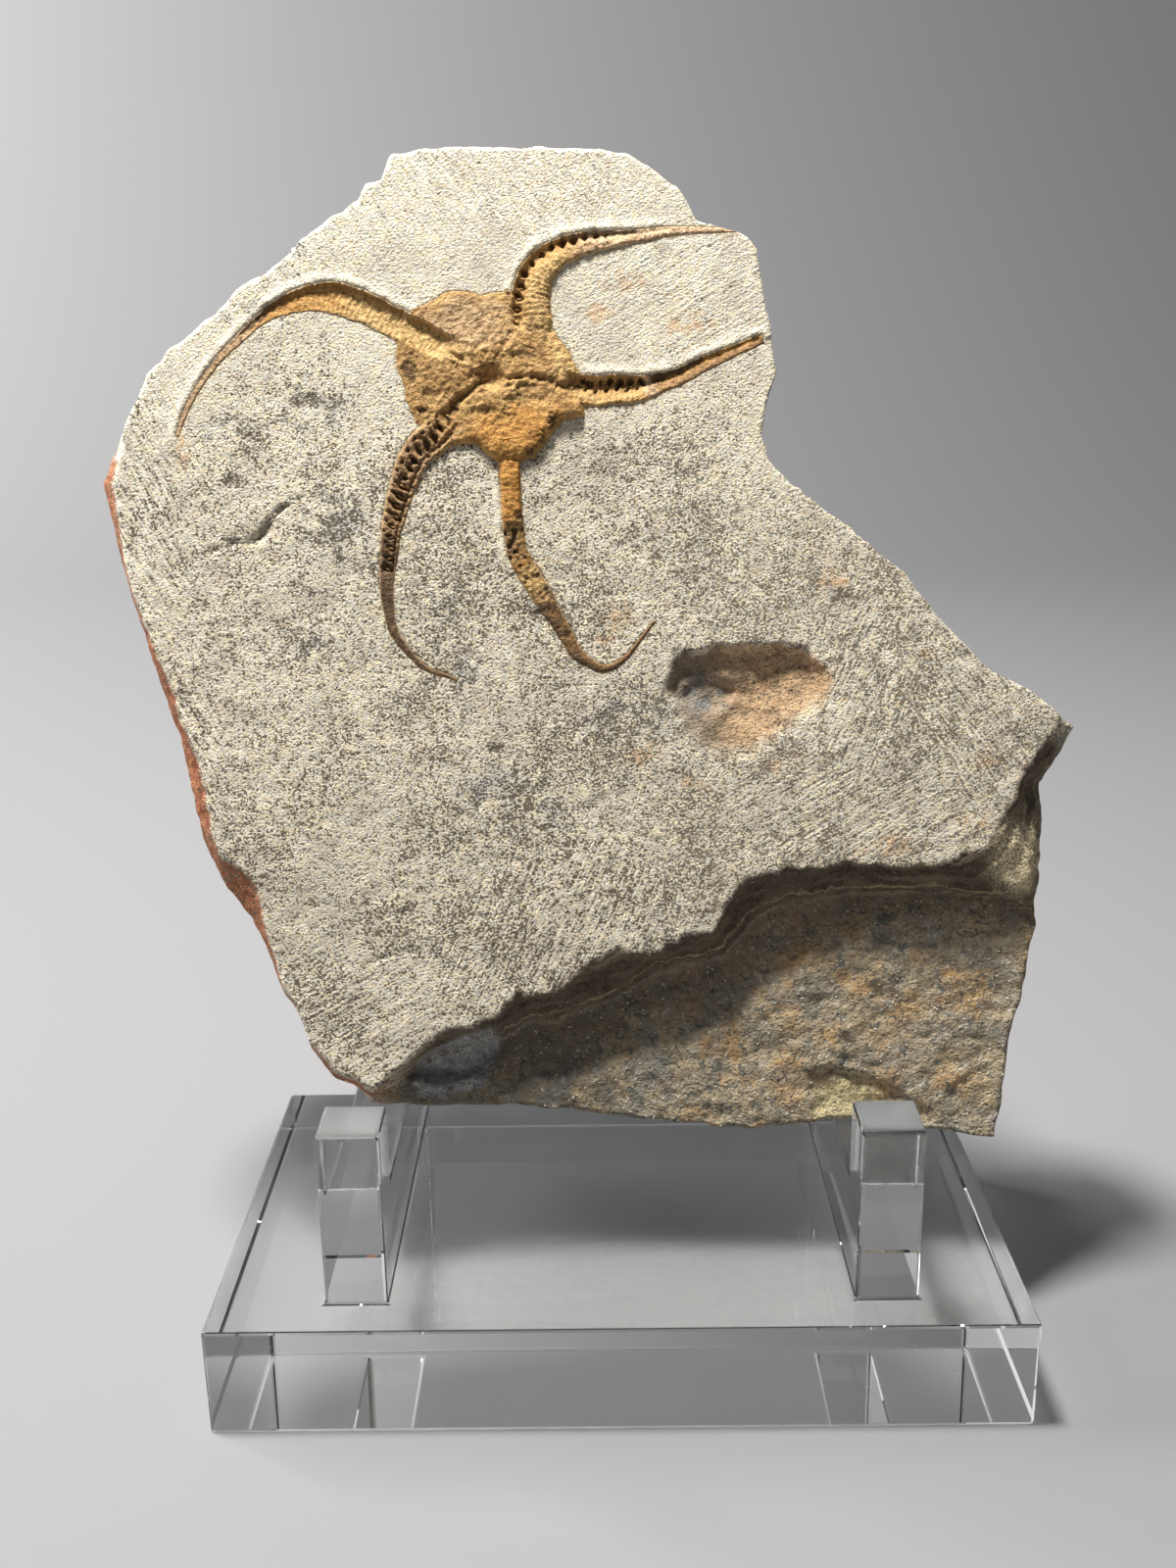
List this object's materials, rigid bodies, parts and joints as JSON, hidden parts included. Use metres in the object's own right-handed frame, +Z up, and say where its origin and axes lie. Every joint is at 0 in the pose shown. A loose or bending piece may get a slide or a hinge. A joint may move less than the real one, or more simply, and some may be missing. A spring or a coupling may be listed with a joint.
{
  "type": "fossil brittle star on stand",
  "caption": "Brittle star fossil, a disc with curling arms, in a broken sandstone slab that leans in the notches of a clear acrylic display stand.",
  "frame": {"origin": "centre of the underside of the stand's base", "axes": "+Z up out of the base, -Y towards the viewer of the fossil, +X to that viewer's right"},
  "size_m": [0.1316, 0.0727, 0.1568],
  "materials": {
    "sandstone": "sandy, worked with a fine brush",
    "fossil": "iron-stained, rough",
    "acrylic": "clear polished acrylic"
  },
  "bodies": {
    "root": {"sandstone_slab": "sandstone", "brittle_star": "fossil", "stand_base": "acrylic", "stand_bracket_left": "acrylic", "stand_bracket_right": "acrylic"}
  },
  "joints": []
}
